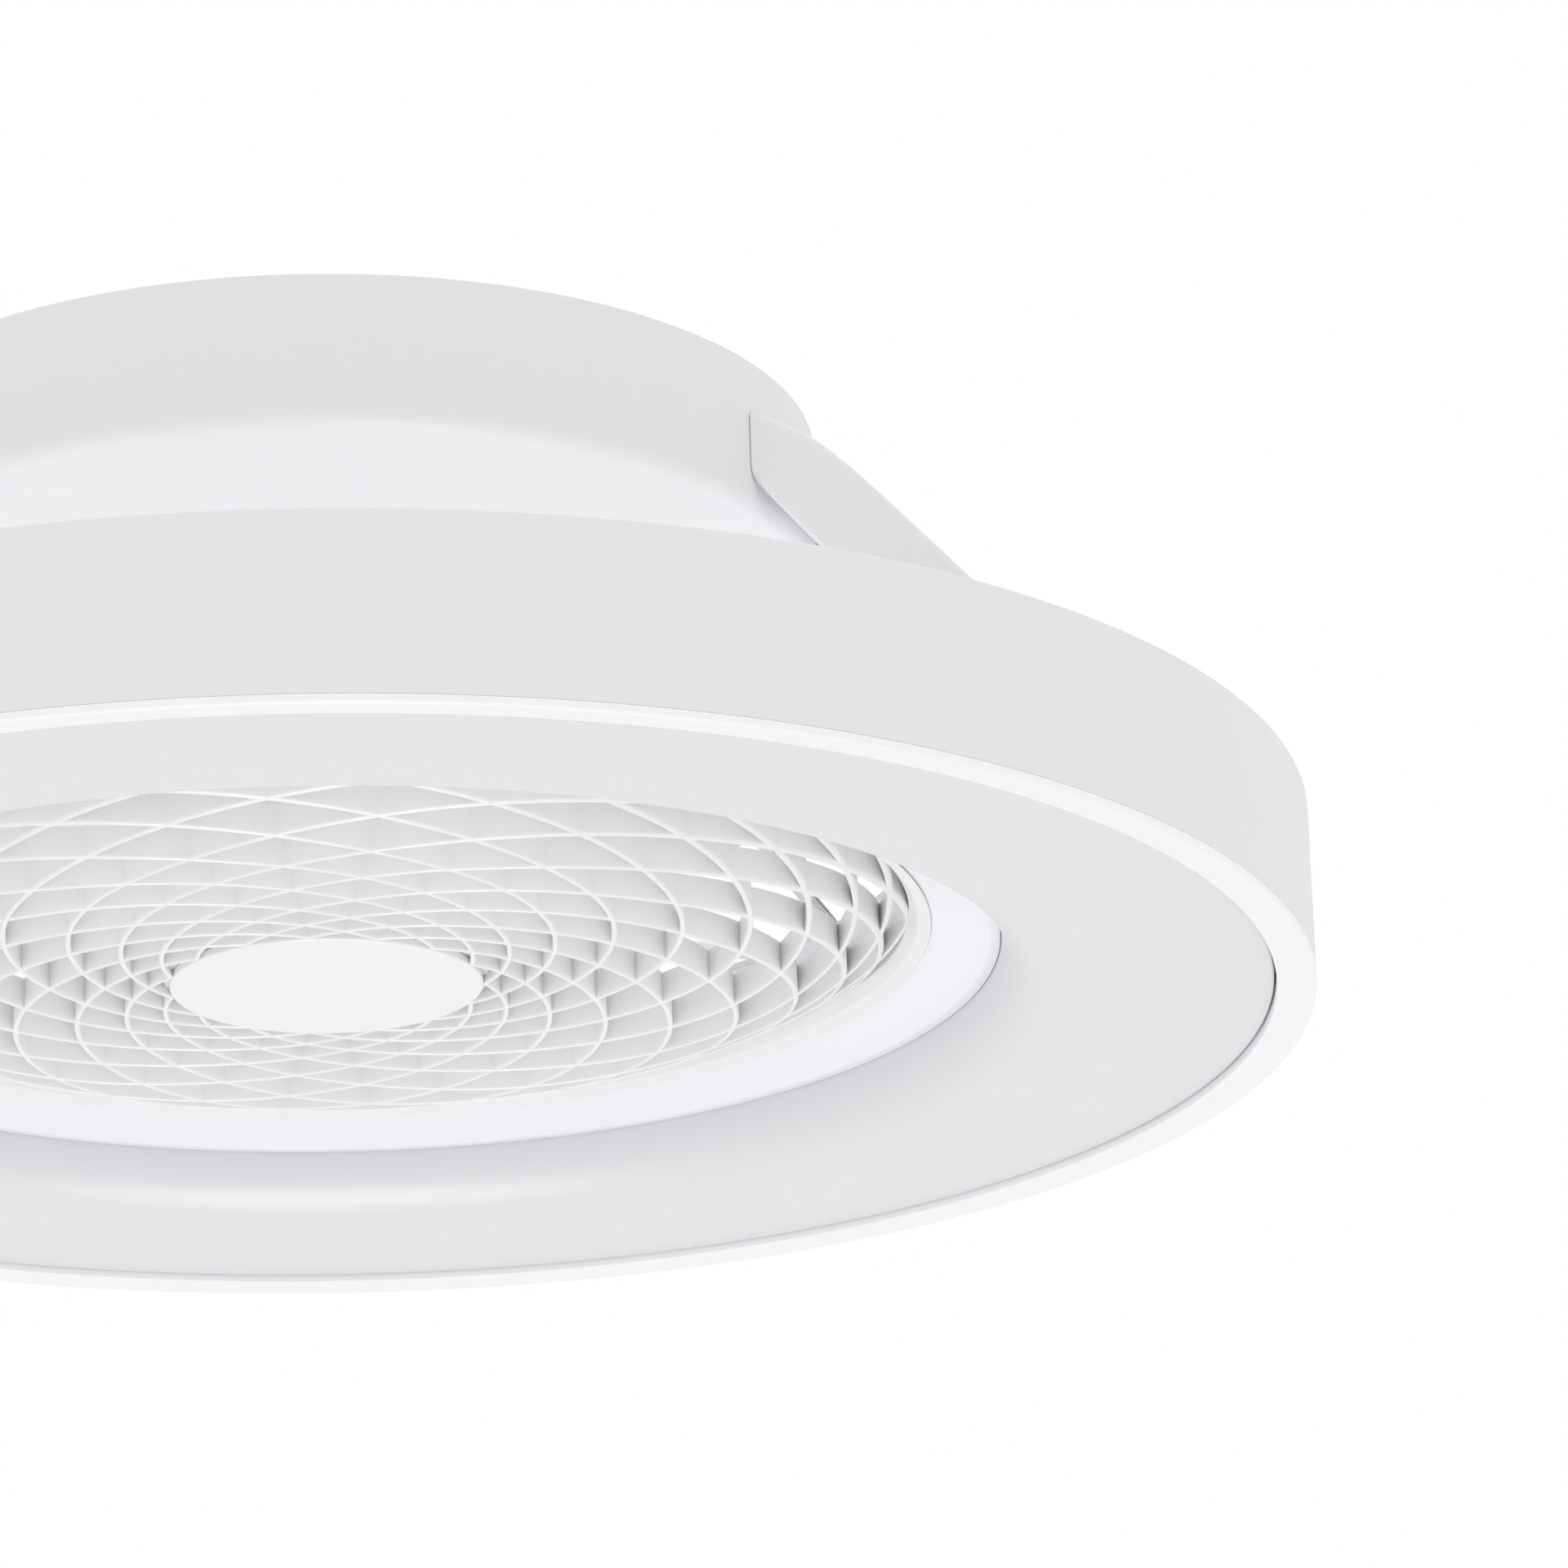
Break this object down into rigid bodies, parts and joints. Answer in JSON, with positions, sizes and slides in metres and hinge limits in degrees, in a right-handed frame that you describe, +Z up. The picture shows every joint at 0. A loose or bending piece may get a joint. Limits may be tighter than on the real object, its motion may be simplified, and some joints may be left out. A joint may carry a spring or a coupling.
{
  "type": "enclosed ceiling fan with ring lamp",
  "caption": "Flush ceiling fan enclosed in a ring lamp: a drum canopy, two sloping arms, an axial impeller behind a net of crossing fins, and an opal lamp face.",
  "frame": {"origin": "centre of the ceiling plate's upper face, in the ceiling plane", "axes": "+Z up into the ceiling and along the impeller's axis, -Y towards the viewer, the two arms lie along +X and -X"},
  "size_m": [0.65, 0.65, 0.2015],
  "materials": {
    "white_lacquer": "satin white powder coat",
    "rim_white": "smooth bright white moulding",
    "opal": "opal diffuser, soft sheen",
    "duct_white": "glossy cool white moulding",
    "fin_white": "fine satin white moulding",
    "blade_white": "satin white moulding",
    "zinc": "zinc-plated pressed steel",
    "steel": "turned steel",
    "lamination": "stacked electrical steel",
    "copper": "enamelled copper wire",
    "magnet": "sintered magnet ring",
    "lamp_board": "white coated aluminium board",
    "case_white": "plain white moulding"
  },
  "bodies": {
    "frame": {"ceiling_plate": "zinc", "canopy_shell": "white_lacquer", "canopy_screw_right": "steel", "canopy_screw_left": "steel", "led_driver": "case_white", "fan_controller": "case_white", "terminal_block": "case_white", "arm_right": "white_lacquer", "arm_left": "white_lacquer", "arm_bolt_right_front": "steel", "arm_bolt_right_back": "steel", "arm_bolt_left_front": "steel", "arm_bolt_left_back": "steel", "ring_housing": "white_lacquer", "rim_trim": "rim_white", "diffuser": "opal", "air_duct": "duct_white", "led_board_1": "lamp_board", "led_board_2": "lamp_board", "led_board_3": "lamp_board", "led_board_4": "lamp_board", "grille": "fin_white", "grille_cap": "fin_white", "guard_plate": "white_lacquer", "guard_hoop": "white_lacquer", "guard_seat": "white_lacquer", "guard_rib_1": "white_lacquer", "guard_post_1": "white_lacquer", "guard_rib_2": "white_lacquer", "guard_post_2": "white_lacquer", "guard_rib_3": "white_lacquer", "guard_post_3": "white_lacquer", "guard_rib_4": "white_lacquer", "guard_post_4": "white_lacquer", "guard_rib_5": "white_lacquer", "guard_post_5": "white_lacquer", "guard_rib_6": "white_lacquer", "guard_post_6": "white_lacquer", "motor_can": "zinc", "motor_end_bell": "zinc", "stator_core": "lamination", "stator_winding": "copper", "bearing_upper": "steel", "bearing_lower": "steel"},
    "rotor": {"motor_shaft": "steel", "rotor_magnets": "magnet", "impeller_hub": "blade_white", "hub_nut": "steel", "blade_1": "blade_white", "blade_2": "blade_white", "blade_3": "blade_white", "blade_4": "blade_white", "blade_5": "blade_white", "blade_6": "blade_white", "blade_7": "blade_white"}
  },
  "joints": [
    {"name": "fan_spin", "type": "hinge", "parent": "frame", "child": "rotor", "pos_m": [0, 0, -0.1335], "axis": [0, 0, 1], "continuous": true}
  ]
}
